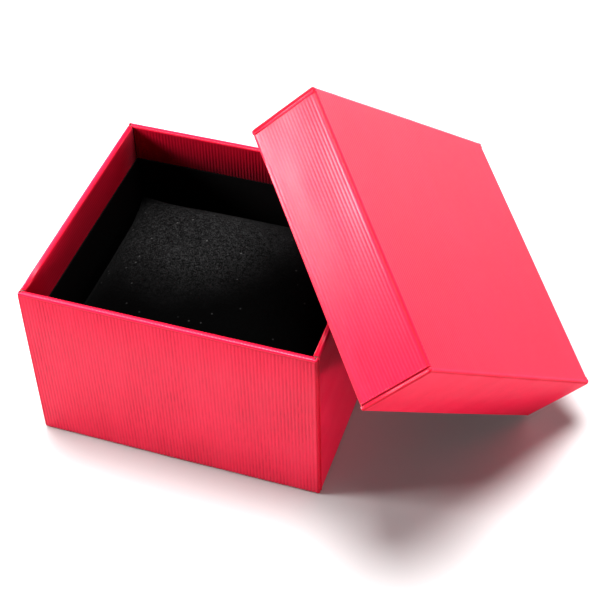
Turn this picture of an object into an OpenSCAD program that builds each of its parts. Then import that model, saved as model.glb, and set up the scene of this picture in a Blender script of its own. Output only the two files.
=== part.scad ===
// Rigid set-up gift box for a watch or bracelet: a wrapped greyboard tray with a stuffed
// velvet pillow, and a telescoping lid that leans over the tray's back right corner.
// +X runs left to right, +Y front to back, +Z up. The origin is the centre of the underside.

/* [Base tray] */
// Outside width of the base tray, left to right
base_w = 85; // [66:1:120]
// Outside depth of the base tray, front to back
base_d = 78; // [62:1:110]
// Outside height of the base tray
base_h = 55; // [46:1:80]
// How far the wrap turns in over the rim and down the inside
base_turn_in = 15; // [8:0.5:24]
// How far the wrap's turn-in shows above the black liner
turn_in_show = 12; // [6:0.5:20]

/* [Lid] */
// Outside height of the lid
lid_h = 22; // [17:0.5:34]
// Free room between the base tray and the lid, on each side
lid_room = 0.3; // [0.2:0.05:1]
// How far the lid's wrap turns in over its rim
lid_turn_in = 12; // [6:0.5:14]

/* [Board and paper] */
// Thickness of the greyboard
board = 1.2; // [0.8:0.05:1.6]
// Thickness of the ribbed wrapping paper with its glue
paper = 0.25; // [0.15:0.05:0.4]
// Thickness of the black lining card
card = 0.5; // [0.3:0.05:0.8]
// Rounding of the wrapped upright corners, on the outside
corner_r = 0.9; // [0.6:0.1:2]
// Thickness of the paper tape that holds each board corner
tape = 0.15; // [0.1:0.05:0.3]
// How far each leg of the tape reaches from its corner
tape_leg = 12; // [8:1:20]

/* [Pillow] */
// Height of the pillow
pillow_h = 37; // [28:1:46]
// Height of the pillow's seam above its own underside
seam_h = 23; // [14:1:26]
// Free room between the pillow and the tray around and below it
pillow_room = 0.5; // [0.3:0.1:2]
// How far the middle of each side draws in between the pillow's corners
side_draw = 1.2; // [0:0.1:3]
// Thickness of the velvet
velvet = 0.8; // [0.5:0.1:1.5]
// Number of hand stitches that close the back seam
stitches = 9; // [5:1:13]
// Distance from one closing stitch to the next
stitch_pitch = 3.5; // [2:0.5:4]

/* [Leaning lid] */
// Roll of the leaning lid about its own left-to-right axis
lid_roll = 31; // [29:0.5:33]
// Pitch of the leaning lid about its own front-to-back axis
lid_pitch = 39.5; // [38:0.5:41]
// Turn of the leaning lid about the vertical
lid_yaw = 60.5; // [58:0.5:62]
// Distance from the tray's right wall to the lid corner that stands on the table
lid_reach = 49.8; // [47:0.1:52]
// Gap left between the lid's rim and the tray's back rim that it leans on
lean_gap = 0.3; // [0.2:0.05:0.6]

/* [Hidden] */
$fn = 48;
eps = 0.5;               // how far a cutting solid runs past the face it cuts
card_room = 0.1;         // free room around a lining card
fill_room = 0.2;         // free room between the velvet and the filling
fill_edge = 0.2;         // half the thickness of the filling's blunt edge
thread_r = 0.25;         // radius of the sewing thread
stitch_len = 3;          // length of one closing stitch
rows = 8;                // half the number of strips in each direction on the pillow

wall = board + 2 * paper;                       // full wall at the rim
floor_z = paper + board;                        // upper face of a tray's own floor
lid_w = base_w + 2 * (wall + lid_room);
lid_d = base_d + 2 * (wall + lid_room);
liner_top = base_h - turn_in_show;
pillow_x = base_w / 2 - wall - card - pillow_room;
pillow_y = base_d / 2 - wall - card - pillow_room;
pillow_z = floor_z + card + pillow_room;        // underside of the pillow
CORNERS = [[-1, -1], [1, -1], [1, 1], [-1, 1]]; // front left, front right, back right, back left

// ---- where the lid leans ----
function rot_x(p, a) = [p[0], p[1] * cos(a) - p[2] * sin(a), p[1] * sin(a) + p[2] * cos(a)];
function rot_y(p, a) = [p[0] * cos(a) + p[2] * sin(a), p[1], -p[0] * sin(a) + p[2] * cos(a)];
function rot_z(p, a) = [p[0] * cos(a) - p[1] * sin(a), p[0] * sin(a) + p[1] * cos(a), p[2]];
function leaned(p) = rot_z(rot_y(rot_x(p, lid_roll), lid_pitch), lid_yaw);

foot = leaned([lid_w / 2, -lid_d / 2, 0]);              // rim corner that stands on the table
rail_a = leaned([-lid_w / 2, lid_d / 2 - wall, 0]);     // inner rim edge that lies over the back wall
rail_b = leaned([lid_w / 2, lid_d / 2 - wall, 0]);
rail_slope = (rail_b[1] - rail_a[1]) / (rail_b[2] - rail_a[2]);
lean_x = base_w / 2 + lid_reach - foot[0];
lean_z = -foot[2];
lean_y = base_d / 2 - rail_a[1] - (base_h + lean_gap - rail_a[2] - lean_z) * rail_slope;

module leaning() {
    translate([lean_x, lean_y, lean_z]) rotate([lid_roll, lid_pitch, lid_yaw]) children();
}

// A tray stands rim up; the lid is the same tray turned over, with its rim at zero height.
module turned_over() {
    translate([0, 0, lid_h]) rotate([180, 0, 0]) children();
}

// ---- board and paper ----
module sharp_block(w, d, z0, z1) {
    translate([-w / 2, -d / 2, z0]) cube([w, d, z1 - z0]);
}

module round_block(w, d, z0, z1, r) {
    translate([0, 0, z0]) linear_extrude(z1 - z0) {
        square([w - 2 * r, d], center = true);
        square([w, d - 2 * r], center = true);
        for (s = CORNERS) translate([s[0] * (w / 2 - r), s[1] * (d / 2 - r)]) circle(r);
    }
}

// Board block as it is before the inside is taken out, drawn in from the wrap by a depth
module board_block(w, d, h, depth) {
    inset = 2 * (paper + depth);
    round_block(w - inset, d - inset, paper, h - paper, corner_r - paper - depth);
}

// One tape lies pressed flush into the outside of a board corner.
module corner_tape(w, d, h, s) {
    intersection() {
        difference() {
            board_block(w, d, h, 0);
            board_block(w, d, h, tape);
        }
        translate([s[0] * (w - tape_leg) / 2, s[1] * (d - tape_leg) / 2, h / 2])
            cube([tape_leg, tape_leg, h], center = true);
    }
}

module tray_board(w, d, h) {
    difference() {
        board_block(w, d, h, 0);
        sharp_block(w - 2 * floor_z, d - 2 * floor_z, floor_z, h);
        for (s = CORNERS) corner_tape(w, d, h, s);
    }
}

// One sheet covers the underside, the walls and the rim, and turns in down the inside.
module tray_wrap(w, d, h, turn_in) {
    difference() {
        round_block(w, d, 0, h, corner_r);
        difference() {
            board_block(w, d, h, 0);
            sharp_block(w - 2 * floor_z, d - 2 * floor_z, h - turn_in, h);
        }
        sharp_block(w - 2 * wall, d - 2 * wall, h - turn_in - eps, h + eps);
    }
}

module lining_sheet(w, d) {
    inset = 2 * (floor_z + card_room);
    sharp_block(w - inset, d - inset, floor_z, floor_z + card);
}

// ---- base tray ----
module base_board() {
    color("#a2988a") tray_board(base_w, base_d, base_h);
}

module base_corner_stay(i) {
    color("#cdbb93") corner_tape(base_w, base_d, base_h, CORNERS[i]);
}

module base_wrap() {
    color("#e22c50") tray_wrap(base_w, base_d, base_h, base_turn_in);
}

module base_floor_pad() {
    color("#141415") lining_sheet(base_w, base_d);
}

// Four-sided sleeve of black card that stands on the floor pad and covers the turn-in's edge
module base_liner_band() {
    outer = 2 * wall;
    inner = 2 * (wall + card);
    color("#101011") difference() {
        sharp_block(base_w - outer, base_d - outer, floor_z + card, liner_top);
        sharp_block(base_w - inner, base_d - inner, floor_z, base_h);
    }
}

// ---- lid ----
module lid_board() {
    color("#a2988a") leaning() turned_over() tray_board(lid_w, lid_d, lid_h);
}

module lid_corner_stay(i) {
    color("#cdbb93") leaning() turned_over() corner_tape(lid_w, lid_d, lid_h, CORNERS[i]);
}

module lid_wrap() {
    color("#f03a5e") leaning() turned_over() tray_wrap(lid_w, lid_d, lid_h, lid_turn_in);
}

module lid_liner_pad() {
    color("#141415") leaning() turned_over() lining_sheet(lid_w, lid_d);
}

// ---- pillow ----
// Strips are narrow near the sides, where the cushion curves down to its seam.
function strip(i) = sin(90 * i / rows);
function fullness(t, power) = pow(max(0, 1 - pow(abs(t), power)), 1 / power);
function drawn(t) = side_draw * (1 - t * t);

// A point on the pillow: u and v run from -1 to 1, rise is the height over the border
function pillow_point(u, v, rise, power, inset, border) = [
    u * (pillow_x - inset - drawn(v)),
    v * (pillow_y - inset - drawn(u)),
    pillow_z + seam_h + border + rise * fullness(u, power) * fullness(v, power)
];

// A curved sheet, with its border that far over the seam
function sheet(rise, power, inset, border = 0) = [
    for (j = [-rows : rows]) for (i = [-rows : rows])
        pillow_point(strip(i), strip(j), rise, power, inset, border)
];

side = 2 * rows + 1;     // points along one side of a sheet
function at(i, j) = j * side + i;
function sheet_faces(shift, up) = [
    for (j = [0 : side - 2]) for (i = [0 : side - 2]) for (half = [0, 1])
        let (
            a = shift + at(i, j),
            b = shift + at(i + 1, j),
            c = shift + at(i + 1, j + 1),
            d = shift + at(i, j + 1),
            f = half == 0 ? [a, b, c] : [a, c, d]
        ) up ? [f[2], f[1], f[0]] : f
];

// Points along the outline of a sheet, anticlockwise seen from above
function outline() = concat(
    [for (i = [0 : side - 2]) at(i, 0)],
    [for (j = [0 : side - 2]) at(side - 1, j)],
    [for (i = [side - 1 : -1 : 1]) at(i, side - 1)],
    [for (j = [side - 1 : -1 : 1]) at(0, j)]
);

// Closed solid between an upper and a lower sheet that share their grid
module between(upper, lower) {
    count = side * side;
    rim = outline();
    rim_faces = [
        for (k = [0 : len(rim) - 1]) for (half = [0, 1])
            let (a = rim[k], b = rim[(k + 1) % len(rim)])
            half == 0 ? [a, b, b + count] : [a, b + count, a + count]
    ];
    polyhedron(
        points = concat(upper, lower),
        faces = concat(rim_faces, sheet_faces(0, true), sheet_faces(count, false))
    );
}

crown = pillow_h - seam_h;
top_power = 2.4;         // fullness of the pillow's crown
bottom_power = 5;        // the underside is pressed flat by the tray

module pillow_cover_top() {
    color("#1c1c1f") between(
        sheet(crown, top_power, 0),
        sheet(crown - velvet, top_power, velvet)
    );
}

module pillow_cover_bottom() {
    color("#18181a") between(
        sheet(velvet - seam_h, bottom_power, velvet),
        sheet(-seam_h, bottom_power, 0)
    );
}

module pillow_filling() {
    inset = velvet + fill_room;
    color("#ece9e2") between(
        sheet(crown - inset - fill_edge, top_power, inset, fill_edge),
        sheet(inset - seam_h + fill_edge, bottom_power, inset, -fill_edge)
    );
}

module pillow_closing_stitches() {
    color("#222225") for (k = [0 : stitches - 1]) {
        x = (k - (stitches - 1) / 2) * stitch_pitch;
        translate([x, pillow_y - drawn(x / pillow_x), pillow_z + seam_h - stitch_len / 2])
            cylinder(h = stitch_len, r = thread_r);
    }
}

base_board();
base_corner_stay(0);  // base_corner_stay_1
base_corner_stay(1);  // base_corner_stay_2
base_corner_stay(2);  // base_corner_stay_3
base_corner_stay(3);  // base_corner_stay_4
base_wrap();
base_liner_band();
base_floor_pad();
lid_board();
lid_corner_stay(0);  // lid_corner_stay_1
lid_corner_stay(1);  // lid_corner_stay_2
lid_corner_stay(2);  // lid_corner_stay_3
lid_corner_stay(3);  // lid_corner_stay_4
lid_wrap();
lid_liner_pad();
pillow_cover_top();
pillow_cover_bottom();
pillow_filling();
pillow_closing_stitches();
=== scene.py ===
"""A rigid gift box in ribbed red paper: an open tray with a black lining and a velvet pillow,
and a loose lid that leans over the tray's back right corner."""
import math

import bmesh
import bpy
from mathutils import Euler, Matrix, Vector, noise
from mathutils.bvhtree import BVHTree


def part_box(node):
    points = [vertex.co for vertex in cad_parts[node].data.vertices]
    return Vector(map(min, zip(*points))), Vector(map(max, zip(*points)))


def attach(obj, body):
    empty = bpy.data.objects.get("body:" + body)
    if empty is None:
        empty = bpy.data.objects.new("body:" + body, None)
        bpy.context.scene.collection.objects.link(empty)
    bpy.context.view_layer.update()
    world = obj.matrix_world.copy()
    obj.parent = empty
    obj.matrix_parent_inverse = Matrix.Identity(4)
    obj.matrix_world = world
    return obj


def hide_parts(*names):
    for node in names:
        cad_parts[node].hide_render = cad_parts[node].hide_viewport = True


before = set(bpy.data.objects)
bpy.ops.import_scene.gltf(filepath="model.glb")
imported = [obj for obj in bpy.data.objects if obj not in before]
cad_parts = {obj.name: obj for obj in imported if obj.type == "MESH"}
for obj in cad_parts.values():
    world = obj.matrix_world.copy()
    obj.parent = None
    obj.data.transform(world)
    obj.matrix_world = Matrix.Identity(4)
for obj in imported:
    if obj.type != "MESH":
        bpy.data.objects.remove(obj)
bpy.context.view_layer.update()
MM = 0.001

# ---------------------------------------------------------------- sizes taken from the frame
tray_low, tray_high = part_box("base_wrap")
TRAY_W = tray_high.x - tray_low.x
TRAY_D = tray_high.y - tray_low.y
TRAY_H = tray_high.z
liner_low, liner_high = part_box("base_liner_band")
WALL = liner_low.x - tray_low.x          # board with paper on both faces
FLOOR_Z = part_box("base_floor_pad")[1].z
TRAY_TURN_IN = 15 * MM

# The lid leans by these turns about its own left-to-right and front-to-back axes and the vertical.
LEAN = Euler([math.radians(a) for a in (31, 39.5, 60.5)]).to_matrix()
lid_points = [LEAN.transposed() @ v.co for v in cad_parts["lid_wrap"].data.vertices]
lid_low = Vector([min(p[k] for p in lid_points) for k in range(3)])
lid_high = Vector([max(p[k] for p in lid_points) for k in range(3)])
LID_W, LID_D, LID_H = lid_high - lid_low
LID_TURN_IN = 12 * MM
lid_centre = LEAN @ Vector(((lid_low.x + lid_high.x) / 2, (lid_low.y + lid_high.y) / 2, lid_low.z))
# A lid is a tray turned over, so that its rim comes to the bottom, and then leaned.
LID_PLACE = (
    Matrix.Translation(lid_centre)
    @ LEAN.to_4x4()
    @ Matrix.Translation((0, 0, LID_H))
    @ Matrix.Rotation(math.pi, 4, "X")
)

# ---------------------------------------------------------------- the wrap's own sizes
RIB_PITCH = 1.0 * MM       # from one rib of the paper to the next
RIB_DEPTH = 0.15 * MM
PANEL_RIBS = 0.35          # how much of that is left where the panel was pressed flat
RIB_STEPS = 5              # points across one rib
SHEET = 0.16 * MM          # the paper alone
FOLD_R = 0.75 * MM         # over the board's outer edges
RIM_R = 0.5 * MM           # over the rim's two edges
RIM_BAND = 0.8 * MM        # smooth band under the rim, down to its crease
RIM_GAP = 0.25 * MM        # between a side wall's rim and the front or back rim
SIDE_INSET = 1.25 * MM     # a side wall's sheet stops this far from the corner, over the flap
FLAP = 9 * MM              # front and back flaps, round the corner and under the side walls
FLAP_DROP = 0.2 * MM       # a flap lies this far below the side wall's face
BOW = 0.3 * MM             # how far the middle of a wall stands proud
EDGE_OUT = 0.22 * MM       # how far the board's corners push the sheet past its rounding
CREASE_W = 0.2 * MM        # half the width of the crease under the rim
CREASE_DEPTH = 0.1 * MM
TIP_BAND = 0.9 * MM        # a flap is narrower this close under the rim
CUT_SLACK = 0.02 * MM      # a row this close past a cut is still paper
NEAREST = 0.05 * MM        # least distance between two rows
ROW = 12 * MM              # distance between rows on the flat
FOLD_STEPS = 4             # rows across one fold
FOLD_EASE = 0.3 * MM       # a row this far either side of a fold
TURN_IN_SHADE = 0.55              # painted shade: how much darker the turn-in inside the tray and lid is


def smooth_step(low, high, value):
    t = min(1.0, max(0.0, (value - low) / (high - low)))
    return t * t * (3 - 2 * t)


def bell(distance, width):
    return math.exp(-((distance / width) ** 2))


def link(obj):
    bpy.context.scene.collection.objects.link(obj)
    return obj


def object_from(mesh_edit, name, smooth=True):
    mesh = bpy.data.meshes.new(name)
    mesh_edit.to_mesh(mesh)
    mesh_edit.free()
    if smooth:
        mesh.shade_smooth()
    return link(bpy.data.objects.new(name, mesh))


# ---------------------------------------------------------------- shaders
class Value:
    """A shader socket that takes part in plain sums."""

    def __init__(self, finish, socket):
        self.finish, self.socket = finish, socket

    def maths(self, operation, a, b):
        return self.finish.node("Math", {"operation": operation}, {0: a, 1: b})

    def __add__(self, other):
        return self.maths("ADD", self, other)

    def __sub__(self, other):
        return self.maths("SUBTRACT", self, other)

    def __mul__(self, other):
        return self.maths("MULTIPLY", self, other)

    def __rsub__(self, other):
        return self.maths("SUBTRACT", other, self)

    __radd__ = __add__
    __rmul__ = __mul__


class Finish:
    """A material with one Principled shader, whose sockets are set by name."""

    def __init__(self, name, **sockets):
        self.material = bpy.data.materials.new(name)
        self.material.use_nodes = True
        self.tree = self.material.node_tree
        self.shader = self.tree.nodes["Principled BSDF"]
        self.feed(**sockets)

    def node(self, kind, settings=None, inputs=None, output=0):
        made = self.tree.nodes.new("ShaderNode" + kind)
        for name, value in (settings or {}).items():
            setattr(made, name, value)
        for name, value in (inputs or {}).items():
            self.join(made.inputs[name], value)
        return Value(self, made.outputs[output])

    def join(self, socket, value):
        if isinstance(value, Value):
            self.tree.links.new(value.socket, socket)
        else:
            socket.default_value = value

    def feed(self, **sockets):
        for name, value in sockets.items():
            self.join(self.shader.inputs[name.replace("_", " ")], value)

    def mix(self, mask, low, high):
        made = self.tree.nodes.new("ShaderNodeMix")
        made.data_type = "RGBA"
        for name, value in (("Factor_Float", mask), ("A_Color", low), ("B_Color", high)):
            self.join(next(s for s in made.inputs if s.identifier == name), value)
        return Value(self, next(s for s in made.outputs if s.identifier == "Result_Color"))

    def ramp(self, value, low, high):
        return self.node(
            "MapRange", {"interpolation_type": "SMOOTHSTEP"}, {0: value, 1: low, 2: high}
        )

    def stretched(self, vector, scale):
        return self.node("VectorMath", {"operation": "MULTIPLY"}, {0: vector, 1: scale})

    def noise(self, vector, scale, detail=2.0, roughness=0.5):
        return self.node(
            "TexNoise", None,
            {"Vector": vector, "Scale": scale, "Detail": detail, "Roughness": roughness},
        )

    def bump(self, height, distance, strength=1.0):
        made = self.node(
            "Bump", None, {"Height": height, "Distance": distance, "Strength": strength}
        )
        self.feed(Normal=made)

    def place(self):
        return self.node("TexCoord", output="Object")

    def sheet_map(self):
        """Across and along the paper's ribs, in metres on the flat sheet."""
        return self.node("UVMap", {"uv_map": "sheet"})

    def own(self, name):
        """A number the piece itself carries at each of its points."""
        return self.node("Attribute", {"attribute_name": name}, output="Fac")


def rgb(red, green, blue):
    return (red, green, blue, 1.0)


def ribbed_paper():
    """Crimson laid paper with a pearly face, darkened by painted shade in its rib grooves, creases
    and folds, on rounded edges and on the turned-in faces.
    """
    paper = Finish(
        "ribbed_paper", Specular_IOR_Level=0.12, Coat_IOR=2.2,
        Sheen_Weight=0.03, Sheen_Roughness=0.4, Sheen_Tint=rgb(1.0, 0.42, 0.62),
        Coat_Roughness=0.27,
    )
    flat = paper.sheet_map()
    groove_shade = paper.own("groove_shade")
    fold = paper.own("fold")
    cloudy = paper.noise(flat, 45.0, 3.0)
    streaks = paper.noise(paper.stretched(flat, (1500.0, 240.0, 1.0)), 1.0, 3.0, 0.6)
    fibres = paper.noise(paper.stretched(flat, (5200.0, 3400.0, 1.0)), 1.0, 2.0, 0.6)
    tone = paper.ramp(cloudy * 0.4 + streaks * 0.6, 0.32, 0.68)
    face = paper.mix(tone, rgb(0.80, 0.010, 0.064), rgb(0.89, 0.014, 0.082))
    dashes = paper.ramp(streaks, 0.35, 0.62)
    # Painted shade in the rib grooves, broken into dashes.
    groove_shaded = paper.mix(groove_shade * (0.25 + dashes * 0.75), face, rgb(0.57, 0.0030, 0.036))
    # Painted shade from the fold mark, in creases, on rounded edges and corners and on the turn-in,
    # with the creased coating a little darker too.
    pressed = paper.mix(paper.ramp(fold, 0.1, 1.0) * 0.85, groove_shaded, rgb(0.55, 0.0018, 0.018))
    paper.feed(
        Base_Color=pressed,
        Roughness=0.46 + streaks * 0.12 - fibres * 0.08,
        Coat_Weight=0.28 - fold * 0.22 - groove_shade * 0.12,
    )
    paper.bump(streaks * 0.6 + fibres * 0.4, 0.05 * MM, 0.9)
    return paper.material


CARD_BLACK = 0.0035


def black_card(name):
    """Matte black lining card with a fine tooth."""
    card = Finish(name, Specular_IOR_Level=0.12)
    where = card.place()
    tooth = card.noise(where, 2600.0, 3.0, 0.6)
    cloudy = card.noise(where, 90.0, 2.0)
    card.feed(
        Base_Color=card.mix(
            cloudy,
            rgb(CARD_BLACK, CARD_BLACK, CARD_BLACK),
            rgb(CARD_BLACK * 2, CARD_BLACK * 2, CARD_BLACK * 2.1),
        ),
        Roughness=0.78 + tooth * 0.2,
    )
    card.bump(tooth, 0.03 * MM)
    return card.material


LIT_PATCH_CENTRE = Vector((-14, 17, 14)) * MM    # centre of a painted pool of light on the pillow's top
LIT_PATCH_FULL, LIT_PATCH_GONE = 14 * MM, 42 * MM      # the painted light is full this near the centre and gone this far off


def velvet():
    """Black velvet: a short pile in specks, with a little lint, and a painted pool of light over
    part of its top, where pile and lint show brighter.
    """
    cloth = Finish(
        "velvet", Specular_IOR_Level=0.02, Sheen_Weight=0.03, Sheen_Roughness=0.5,
        Sheen_Tint=rgb(0.62, 0.62, 0.63),
    )
    where = cloth.place()
    tufts = cloth.noise(where, 3300.0, 3.0, 0.7)
    clumps = cloth.noise(where, 900.0, 2.0, 0.6)
    lit_patch_wobble = cloth.noise(where, 75.0, 3.0, 0.55)
    lint = cloth.node(
        "TexVoronoi", {"feature": "F1"}, {"Vector": where, "Scale": 260.0, "Randomness": 1.0}
    )
    speck = 1 - cloth.ramp(lint, 0.05, 0.1)
    raised = cloth.ramp(tufts * 0.75 + clumps * 0.25, 0.42, 0.66)
    away = cloth.node(
        "VectorMath", {"operation": "DISTANCE"},
        {0: cloth.stretched(where, (1.0, 1.05, 0.4)), 1: LIT_PATCH_CENTRE}, output="Value",
    )
    # A painted pool of light: the pile shows near its centre, with a wavy edge, and the velvet is
    # painted near black further off.
    lit_patch = 1 - cloth.ramp(away + lit_patch_wobble * 8 * MM, LIT_PATCH_FULL, LIT_PATCH_GONE)
    depth = rgb(0.0004, 0.0004, 0.0004)
    pile = cloth.mix(raised, depth, rgb(0.047, 0.047, 0.0475))
    lit_pile = cloth.mix(lit_patch, depth, pile)
    # Lint specks show brighter inside the painted pool of light.
    cloth.feed(
        Base_Color=cloth.mix(speck * (0.2 + lit_patch * 0.5), lit_pile, rgb(0.12, 0.12, 0.12)),
        Roughness=0.85 + clumps * 0.12,
    )
    cloth.bump(tufts * 0.6 + clumps * 0.4, 0.35 * MM, 0.9)
    return cloth.material


def greyboard():
    """Recycled board: grey with darker and lighter fibre."""
    board = Finish("greyboard", Specular_IOR_Level=0.2)
    where = board.place()
    flecks = board.noise(where, 1500.0, 3.0, 0.7)
    cloudy = board.noise(where, 160.0, 3.0)
    tone = board.ramp(flecks * 0.6 + cloudy * 0.4, 0.35, 0.65)
    board.feed(
        Base_Color=board.mix(tone, rgb(0.10, 0.088, 0.072), rgb(0.20, 0.18, 0.15)),
        Roughness=0.85 + flecks * 0.1,
    )
    board.bump(flecks, 0.05 * MM)
    return board.material


def kraft_tape():
    """Gummed brown paper tape."""
    tape = Finish("kraft_tape", Specular_IOR_Level=0.3)
    where = tape.place()
    fibres = tape.noise(tape.stretched(where, (700.0, 700.0, 2600.0)), 1.0, 3.0, 0.6)
    tape.feed(
        Base_Color=tape.mix(fibres, rgb(0.34, 0.22, 0.11), rgb(0.50, 0.35, 0.19)),
        Roughness=0.6 + fibres * 0.2,
    )
    tape.bump(fibres, 0.02 * MM)
    return tape.material


def loose_fibre():
    """White polyester filling."""
    wool = Finish("loose_fibre", Specular_IOR_Level=0.2, Sheen_Weight=0.4)
    where = wool.place()
    strands = wool.noise(where, 900.0, 5.0, 0.7)
    wool.feed(
        Base_Color=wool.mix(strands, rgb(0.55, 0.54, 0.51), rgb(0.85, 0.84, 0.80)),
        Roughness=0.8 + strands * 0.15,
    )
    wool.bump(strands, 0.6 * MM)
    return wool.material


def sewing_thread():
    """Black polyester thread with a twist."""
    thread = Finish("sewing_thread", Specular_IOR_Level=0.4)
    where = thread.place()
    twist = thread.node(
        "TexWave", {"bands_direction": "DIAGONAL"}, {"Vector": where, "Scale": 900.0}
    )
    thread.feed(
        Base_Color=thread.mix(twist, rgb(0.006, 0.006, 0.007), rgb(0.030, 0.030, 0.032)),
        Roughness=0.45 + twist * 0.2,
    )
    thread.bump(twist, 0.04 * MM)
    return thread.material


# ---------------------------------------------------------------- the wrap
class FoldLine:
    """A path of straight runs with round folds, on the sheet's outer face. Its points are
    (side, height)."""

    def __init__(self, corners, radii):
        self.runs = []          # (start length, length, kind, data)
        self.length = 0.0
        corners = [Vector(c) for c in corners]
        start = corners[0]
        for k in range(1, len(corners)):
            here = corners[k]
            heading = (here - start).normalized()
            radius = radii[k - 1] if k < len(corners) - 1 else 0.0
            self.add("straight", (here - start).length - radius, start, heading)
            if radius:
                onward = (corners[k + 1] - here).normalized()
                enter = here - heading * radius
                self.add("fold", radius * math.pi / 2, enter, heading, onward, radius)
                start = here + onward * radius
            else:
                start = here

    def add(self, kind, length, *data):
        self.runs.append((self.length, length, kind, data))
        self.length += length

    def at(self, place):
        """(point, outward normal) that far along the path."""
        for begin, length, kind, data in self.runs:
            if place <= begin + length + 1e-9:
                break
        done = place - begin
        if kind == "straight":
            start, heading = data
            return start + heading * done, Vector((heading.y, -heading.x))
        enter, heading, onward, radius = data
        angle = done / radius
        point = enter + heading * (radius * math.sin(angle))
        point += onward * (radius * (1 - math.cos(angle)))
        facing = heading * math.cos(angle) + onward * math.sin(angle)
        return point, Vector((facing.y, -facing.x))

    def marks(self):
        """Where each run begins, and where the last one ends."""
        return [run[0] for run in self.runs] + [self.length]


def tray_line(width, height, turn_in):
    """From one turn-in's edge over the rim, down, under, up and over to the other."""
    half = width / 2
    corners = [
        (-half + WALL, height - turn_in), (-half + WALL, height), (-half, height), (-half, 0),
        (half, 0), (half, height), (half - WALL, height), (half - WALL, height - turn_in),
    ]
    return FoldLine(corners, [RIM_R, RIM_R, FOLD_R, FOLD_R, RIM_R, RIM_R])


# The runs of a tray line, in order: turn-in, fold, rim, fold, wall, fold, panel, and back again.
LEFT_WALL, PANEL, RIGHT_WALL = 4, 6, 8


def stations(line, spacing, extra=()):
    """Places along a path: close together round each fold, wide apart between, and the extra
    ones."""
    places = {0.0, line.length}
    for begin, length, kind, _ in line.runs:
        if kind == "fold":
            places.update(begin + length * k / FOLD_STEPS for k in range(FOLD_STEPS + 1))
            places.update((begin - FOLD_EASE, begin + length + FOLD_EASE))
        else:
            count = max(1, round(length / spacing))
            places.update(begin + length * k / count for k in range(1, count))
    places.update(extra)
    kept = []
    for place in sorted(p for p in places if 0 <= p <= line.length):
        if not kept or place - kept[-1] > NEAREST:
            kept.append(place)
    return kept


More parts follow.
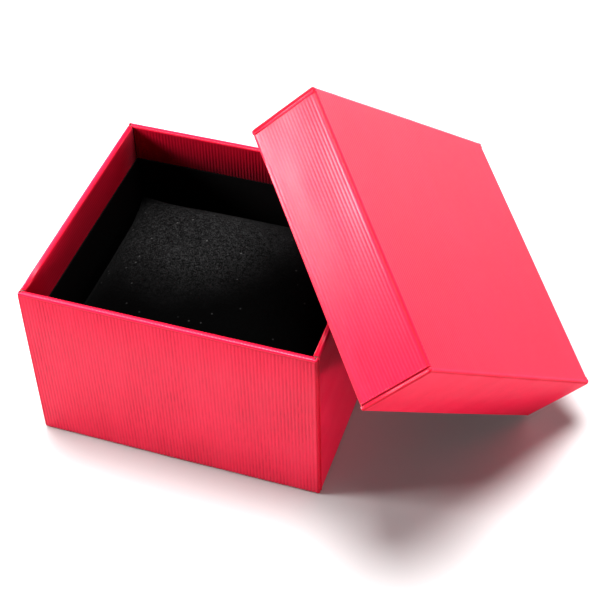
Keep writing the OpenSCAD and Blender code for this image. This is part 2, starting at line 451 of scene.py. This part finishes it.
class Wrap:
    """One ribbed sheet folded round a tray of board: a panel with four walls, a band over each rim
    that turns in, and flaps on the front and back walls that go round the corners."""

    def __init__(self, name, width, depth, height, turn_in, place):
        self.name, self.height, self.place = name, height, place
        self.half_w, self.half_d = width / 2, depth / 2
        self.across = tray_line(width, height, turn_in)      # left to right, across the ribs
        self.along = tray_line(depth, height, turn_in)       # front to back, along the ribs
        self.crease = height - RIM_BAND

    def side(self, line, place):
        """Which part of a tray line a place is on: -1 or 1 off the panel, and 0 on it."""
        marks = line.marks()
        if place < marks[PANEL] - 1e-9:
            return -1
        return 1 if place > marks[PANEL + 1] + 1e-9 else 0

    def corner(self, s, t):
        """A point of a flap, round an upright corner, or None where the sheet is cut away."""
        marks_s = self.across.marks()
        left = self.side(self.across, s)
        beyond = marks_s[PANEL] - s if left < 0 else s - marks_s[PANEL + 1]
        (out, z), facing = self.along.at(t)
        front = math.copysign(1, out)
        radius = FOLD_R - (self.half_d - abs(out))
        turned = FOLD_R * math.pi / 2
        at_rim = z > self.height - TIP_BAND
        reach = turned + WALL - FOLD_R if at_rim else FLAP
        if beyond > reach or radius < -1e-6:
            return None
        turn = min(beyond / FOLD_R, math.pi / 2)
        run = max(0.0, beyond - turned)
        level = Vector((left * math.sin(turn), front * math.cos(turn), 0))
        centre = Vector((left * (self.half_w - FOLD_R), front * (self.half_d - FOLD_R), z))
        drop = min(radius, FLAP_DROP * turn / (math.pi / 2)) * abs(facing.x)
        point = centre + level * (radius - drop) - Vector((0, front * run, 0))
        normal = level * abs(facing.x) + Vector((0, 0, facing.y))
        return point, normal.normalized()

    def flat_point(self, s, t):
        """(point, normal) of the sheet before it has ribs, or None where it is cut away."""
        left, front = self.side(self.across, s), self.side(self.along, t)
        (x, x_z), x_facing = self.across.at(s)
        (y, y_z), y_facing = self.along.at(t)
        if left and abs(y) > self.half_d - FOLD_R - 1e-6:
            if front or y_z < FOLD_R:
                return self.corner(s, t)
        if left:
            at_rim = x_z > self.height - RIM_R or abs(x) < self.half_w - WALL / 2
            if abs(y) > self.half_d - (WALL + RIM_GAP if at_rim else SIDE_INSET) + CUT_SLACK:
                return None
            return Vector((x, y, x_z)), Vector((x_facing.x, 0, x_facing.y))
        if front:
            inside = abs(y) < self.half_d - WALL / 2 and y_z < self.height - RIM_R
            if inside and abs(x) > self.half_w - WALL:
                return None
            return Vector((x, y, y_z)), Vector((0, y_facing.x, y_facing.y))
        return Vector((x, y, 0)), Vector((0, 0, -1))

    def relief(self, s, t, point, normal):
        """(height over the plain sheet, painted shade in the rib groove, and painted shade in
        creases, on rounded edges and corners and on the turn-in, with a dark line at a side sheet's
        edge).
        """
        outer = abs(point.x) > self.half_w - WALL / 2 or abs(point.y) > self.half_d - WALL / 2
        upright = abs(normal.z) < 0.5
        wander = noise.noise(Vector((s * 70, t * 45, 3.1))) * 0.16 * MM
        swell = 0.75 + 0.5 * noise.noise(Vector((s * 160, t * 110, 7.7)))
        crest = 0.5 + 0.5 * math.cos(math.tau * (s + wander) / RIB_PITCH)
        pressed = 1.0 if upright else PANEL_RIBS
        ribs = RIB_DEPTH * swell * crest * pressed
        groove_shade = (1 - crest) ** 2 * min(1.0, swell) * pressed * (1.0 if outer else 0.4)
        # The turn-in's inner face gets painted shade through the fold mark.
        fold = 0.0 if outer else TURN_IN_SHADE
        bow = 0.0
        if outer and upright:
            under = self.crease - point.z
            crease = bell(under, CREASE_W)
            plain = 0.9 * smooth_step(-0.1 * MM, 0.3 * MM, -under)
            ribs = ribs * (1 - plain) - CREASE_DEPTH * crease
            groove_shade *= 1 - plain
            corner = min(1.0, 4 * abs(normal.x * normal.y))
            side_edge = 0.0
            if abs(normal.x) > 0.9 and abs(point.x) > self.half_w - FLAP_DROP / 2:
                side_edge = bell(self.half_d - SIDE_INSET - abs(point.y), 0.25 * MM)
            # Painted shade in the crease under the rim and on the rounded upright corners, the
            # creased coating a little darker too, and a dark line along a side sheet's edge.
            fold = max(0.7 * crease, 0.7 * corner, 0.8 * side_edge)
            span = point.x / self.half_w if abs(normal.y) > 0.7 else point.y / self.half_d
            level = min(1, 0.1 + 0.8 * point.z / self.height)
            bow = BOW * (1 - span ** 2) * math.sin(math.pi * level)
        # Painted shade on the rounded bottom edges.
        if outer and point.z < FOLD_R + 0.1 * MM:
            rounding = smooth_step(-0.1 * MM, 0.4 * MM, FOLD_R - point.z)
            fold = max(fold, rounding * (1 - abs(normal.z) ** 3))
        bare = smooth_step(-SIDE_INSET, -SIDE_INSET + 0.25 * MM, abs(point.y) - self.half_d)
        bend = max(abs(normal.x * normal.y), abs(normal.x * normal.z) * bare)
        pushed = EDGE_OUT * min(1.0, 3 * bend) if outer else 0.0
        return ribs + bow + pushed, groove_shade, fold

    def build(self):
        step = RIB_PITCH / RIB_STEPS
        count = round(self.across.length / step)
        cols = [self.across.length * k / count for k in range(count + 1)]
        marks = self.along.marks()
        creases = []
        for off in (-0.15, 0.0, 0.2):
            for end, way in ((marks[LEFT_WALL], 1), (marks[RIGHT_WALL + 1], -1)):
                creases.append(end + way * (RIM_BAND - RIM_R + off * MM))
        for y in (self.half_d - n for n in (SIDE_INSET, SIDE_INSET + 0.3 * MM, WALL + RIM_GAP)):
            middle = (marks[PANEL] + marks[PANEL + 1]) / 2
            creases += [middle - y, middle + y]
        rows = stations(self.along, ROW, creases)
        sheet = bmesh.new()
        sheet.loops.layers.uv.new("sheet")
        bmesh.ops.create_grid(sheet, x_segments=len(cols) - 1, y_segments=len(rows) - 1, size=1)
        flat = sheet.loops.layers.uv["sheet"]
        # Painted shade in the rib grooves, carried by each point.
        groove_shade_layer = sheet.verts.layers.float.new("groove_shade")
        # Painted shade in creases, on rounded edges and on the turn-in, carried by each point.
        folded = sheet.verts.layers.float.new("fold")
        cut, spots = [], {}
        for v in sheet.verts:
            s = cols[round((v.co.x + 1) / 2 * (len(cols) - 1))]
            t = rows[round((v.co.y + 1) / 2 * (len(rows) - 1))]
            found = self.flat_point(s, t)
            if found is None:
                cut.append(v)
                continue
            point, normal = found
            height, v[groove_shade_layer], v[folded] = self.relief(s, t, point, normal)
            v.co = self.place @ (point + normal * height)
            spots[v] = (s, t)
        for face in sheet.faces:
            for loop in face.loops:
                loop[flat].uv = spots.get(loop.vert, (0, 0))
        bmesh.ops.delete(sheet, geom=cut, context="VERTS")
        bmesh.ops.recalc_face_normals(sheet, faces=sheet.faces)
        piece = object_from(sheet, self.name)
        thick = piece.modifiers.new("paper thickness", "SOLIDIFY")
        thick.thickness = SHEET
        thick.offset = -1
        return piece


def face_out(piece, inside):
    """Turns an open sheet's faces away from a point behind it."""
    face = max(piece.data.polygons, key=lambda f: f.area)
    if (face.center - inside).dot(face.normal) < 0:
        piece.data.flip_normals()


# ---------------------------------------------------------------- camera, light and floor
def look_from(target, azimuth, elevation, distance, roll):
    a, e = math.radians(azimuth), math.radians(elevation)
    back = Vector((math.sin(a) * math.cos(e), -math.cos(a) * math.cos(e), math.sin(e)))
    turn = (-back).to_track_quat("-Z", "Y") @ Euler((0, 0, math.radians(roll))).to_quaternion()
    return target + back * distance, turn


def aimed(name, data, target, azimuth, elevation, distance, roll=0):
    obj = link(bpy.data.objects.new(name, data))
    obj.rotation_mode = "QUATERNION"
    obj.location, obj.rotation_quaternion = look_from(
        target, azimuth, elevation, distance, roll
    )
    return obj


VIEW_CENTRE = Vector((22.1, 7.2, 27.5)) * MM
VIEW = (19.4, 44.8, 0.4257, -1.67)    # turn, height, distance and roll
LENS = 87


def camera():
    data = bpy.data.cameras.new("camera")
    data.lens = LENS
    data.clip_start, data.clip_end = 0.01, 20
    bpy.context.scene.camera = aimed("camera", data, VIEW_CENTRE, *VIEW)


LIGHT_CENTRE = Vector((20, 0, 35)) * MM
# Each softbox: its turn round the box from the front, its height as an angle, how far away it
# stands, its side and its power.
SOFTBOXES = {
    "right": (58, 33, 0.9, 0.25, 0.9),
    "low_right": (66, 4, 0.9, 0.14, 3.0),
    "back_right": (110, 25, 0.9, 0.45, 0.8),
    "back_left": (-120, 40, 0.9, 0.45, 2.5),
    "left_sheen": (-69, 27, 0.53, 0.14, 2.6),
    "back": (163, 8, 0.9, 0.6, 4.0),
}
# The ceiling light counts as far off, so that it lights the whole table alike: its turn, its
# height, how wide it spreads in degrees and its strength.
CEILING = (-165, 80, 28, 5.4)
SKY = 0.01
TABLE_TONE = 0.58
TABLE_SIZE = 8.0           # half its side
TABLE_GAP = 0.1 * MM       # under the box
VIEW_GAMMA = 0.82


def softbox(name, azimuth, elevation, distance, size, power):
    data = bpy.data.lights.new(name, "AREA")
    data.shape, data.size, data.energy = "SQUARE", size, power
    aimed(name, data, LIGHT_CENTRE, azimuth, elevation, distance)


def ceiling_light(azimuth, elevation, spread, strength):
    data = bpy.data.lights.new("ceiling", "SUN")
    data.angle, data.energy = math.radians(spread), strength
    aimed("ceiling", data, LIGHT_CENTRE, azimuth, elevation, 1)


def studio():
    world = bpy.data.worlds.new("studio")
    bpy.context.scene.world = world
    world.use_nodes = True
    sky = world.node_tree.nodes["Background"]
    sky.inputs["Color"].default_value = rgb(1, 1, 1)
    sky.inputs["Strength"].default_value = SKY
    for name, setting in SOFTBOXES.items():
        softbox(name, *setting)
    ceiling_light(*CEILING)
    table = Finish("pale_table", Specular_IOR_Level=0.1, Roughness=0.8)
    table.feed(Base_Color=rgb(TABLE_TONE, TABLE_TONE, TABLE_TONE))
    top = bmesh.new()
    bmesh.ops.create_grid(top, x_segments=1, y_segments=1, size=TABLE_SIZE)
    floor = object_from(top, "table_top", smooth=False)
    floor.data.transform(Matrix.Translation((0, 0, -TABLE_GAP)))
    floor.data.materials.append(table.material)
    bpy.context.scene.view_settings.view_transform = "Standard"
    bpy.context.scene.view_settings.gamma = VIEW_GAMMA


# ---------------------------------------------------------------- pillow
WALL_CARD = 0.5 * MM        # the lining card
PILLOW_ROOM = 0.35 * MM     # least room between the velvet and the tray
CAP = 3.0 * MM              # how far the simulation may move a point
COVER_GAP = 0.4 * MM        # least room between the velvet and its filling
PILLOW_CELLS = 52           # cells across each panel
TOP_POWER, UNDER_POWER = 2.1, 5.0    # the top is a dome, and the underside is nearly flat
SIDE_HOLLOW = 1.6 * MM      # how far the middle of a side curves in
EAR = 2.5 * MM              # how far a corner is pushed up
SWELL_FRAMES = 20
PRESSURE = 12


def pillow_shape(u, v, top, half_x, half_y, seam, rise, depth):
    """A point of a stuffed pillow whose corners are pushed up by the tray's corners."""
    power = TOP_POWER if top else UNDER_POWER
    full_u, full_v = (max(0.0, 1 - abs(t) ** power) ** (1 / power) for t in (u, v))
    x = u * (half_x - SIDE_HOLLOW * (1 - v * v))
    y = v * (half_y - SIDE_HOLLOW * (1 - u * u))
    ear = EAR * (abs(u) * abs(v)) ** 5
    height = (rise if top else -depth) * full_u * full_v
    return Vector((x, y, seam + ear + height))


def pillow():
    low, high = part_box("pillow_cover_bottom")
    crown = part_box("pillow_cover_top")[1].z
    seam = high.z
    cover = bmesh.new()
    for top in (True, False):
        panel = bmesh.ops.create_grid(
            cover, x_segments=PILLOW_CELLS, y_segments=PILLOW_CELLS, size=1
        )
        made = panel["verts"]
        for v in made:
            u, w = (math.sin(math.pi / 2 * c) * 0.5 + c * 0.5 for c in (v.co.x, v.co.y))
            v.co = pillow_shape(u, w, top, high.x, high.y, seam, crown - seam, seam - low.z)
        if not top:
            faces = list({f for v in made for f in v.link_faces})
            bmesh.ops.reverse_faces(cover, faces=faces)
    bmesh.ops.remove_doubles(cover, verts=cover.verts, dist=0.02 * MM)
    bmesh.ops.recalc_face_normals(cover, faces=cover.faces)
    if cover.calc_volume(signed=True) < 0:
        bmesh.ops.reverse_faces(cover, faces=cover.faces)
    piece = object_from(cover, "velvet_pillow")
    inflate(piece)
    settle(piece)
    finer = piece.modifiers.new("finer", "SUBSURF")
    finer.levels = finer.render_levels = 1
    return piece


def inflate(piece):
    """Swells the cover like stuffed cloth, so that it puckers along its seam and at its corners."""
    mesh = piece.data
    rest = [v.co.copy() for v in mesh.vertices]
    cloth = piece.modifiers.new("stuffing", "CLOTH")
    cloth.settings.quality = 6
    cloth.settings.mass = 0.3
    cloth.settings.use_pressure = True
    cloth.settings.uniform_pressure_force = PRESSURE
    cloth.settings.shrink_min = -0.02
    cloth.settings.tension_stiffness = cloth.settings.compression_stiffness = 15
    cloth.settings.bending_stiffness = 0.3
    cloth.settings.effector_weights.gravity = 0
    cloth.collision_settings.use_self_collision = False
    scene = bpy.context.scene
    for step in range(1, SWELL_FRAMES + 1):
        scene.frame_set(step)
    swollen = piece.evaluated_get(bpy.context.evaluated_depsgraph_get()).to_mesh()
    moved = [v.co.copy() for v in swollen.vertices]
    piece.modifiers.remove(cloth)
    scene.frame_set(1)
    for v, start, end in zip(mesh.vertices, rest, moved):
        shift = end - start
        v.co = start + shift * min(1.0, CAP / max(shift.length, 1e-9))


def settle(piece):
    """Holds the cover off its filling, and in from the tray's lining and floor."""
    depsgraph = bpy.context.evaluated_depsgraph_get()
    filling = BVHTree.FromObject(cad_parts["pillow_filling"], depsgraph)
    room_x = liner_high.x - WALL_CARD - PILLOW_ROOM
    room_y = liner_high.y - WALL_CARD - PILLOW_ROOM
    for v in piece.data.vertices:
        lumps = noise.noise(v.co * 55) * 0.5 * MM + noise.noise(v.co * 160) * 0.18 * MM
        v.co.z += lumps * smooth_step(FLOOR_Z, TRAY_H / 2, v.co.z)
        spot, facing, _, _ = filling.find_nearest(v.co)
        clear = (v.co - spot).dot(facing)
        if clear < COVER_GAP:
            v.co += facing * (COVER_GAP - clear)
        v.co.x = max(-room_x, min(room_x, v.co.x))
        v.co.y = max(-room_y, min(room_y, v.co.y))
        v.co.z = max(FLOOR_Z + PILLOW_ROOM, v.co.z)


# ---------------------------------------------------------------- putting it together
camera()
studio()

PAPER = ribbed_paper()
wraps = (
    Wrap("tray_ribbed_wrap", TRAY_W, TRAY_D, TRAY_H, TRAY_TURN_IN, Matrix.Identity(4)),
    Wrap("lid_ribbed_wrap", LID_W, LID_D, LID_H, LID_TURN_IN, LID_PLACE),
)
for wrap, body, node in zip(wraps, ("base", "lid"), ("base_wrap", "lid_wrap")):
    sheet = wrap.build()
    sheet.data.materials.append(PAPER)
    face_out(sheet, wrap.place @ Vector((0, 0, wrap.height / 2)))
    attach(sheet, body)
    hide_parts(node)

cover = pillow()
cover.data.materials.append(velvet())
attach(cover, "pillow")
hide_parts("pillow_cover_top", "pillow_cover_bottom")

CAD_FINISHES = {
    "base_board": greyboard(),
    "base_liner_band": black_card("black_lining_card"),
    "lid_liner_pad": black_card("black_ceiling_card"),
    "base_corner_stay_1": kraft_tape(),
    "pillow_filling": loose_fibre(),
    "pillow_closing_stitches": sewing_thread(),
}
CAD_FINISHES["lid_board"] = CAD_FINISHES["base_board"]
CAD_FINISHES["base_floor_pad"] = CAD_FINISHES["base_liner_band"]
for k in range(1, 5):
    for part in ("base", "lid"):
        CAD_FINISHES[f"{part}_corner_stay_{k}"] = CAD_FINISHES["base_corner_stay_1"]
for name, finish in CAD_FINISHES.items():
    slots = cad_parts[name].data.materials
    slots.clear()
    slots.append(finish)
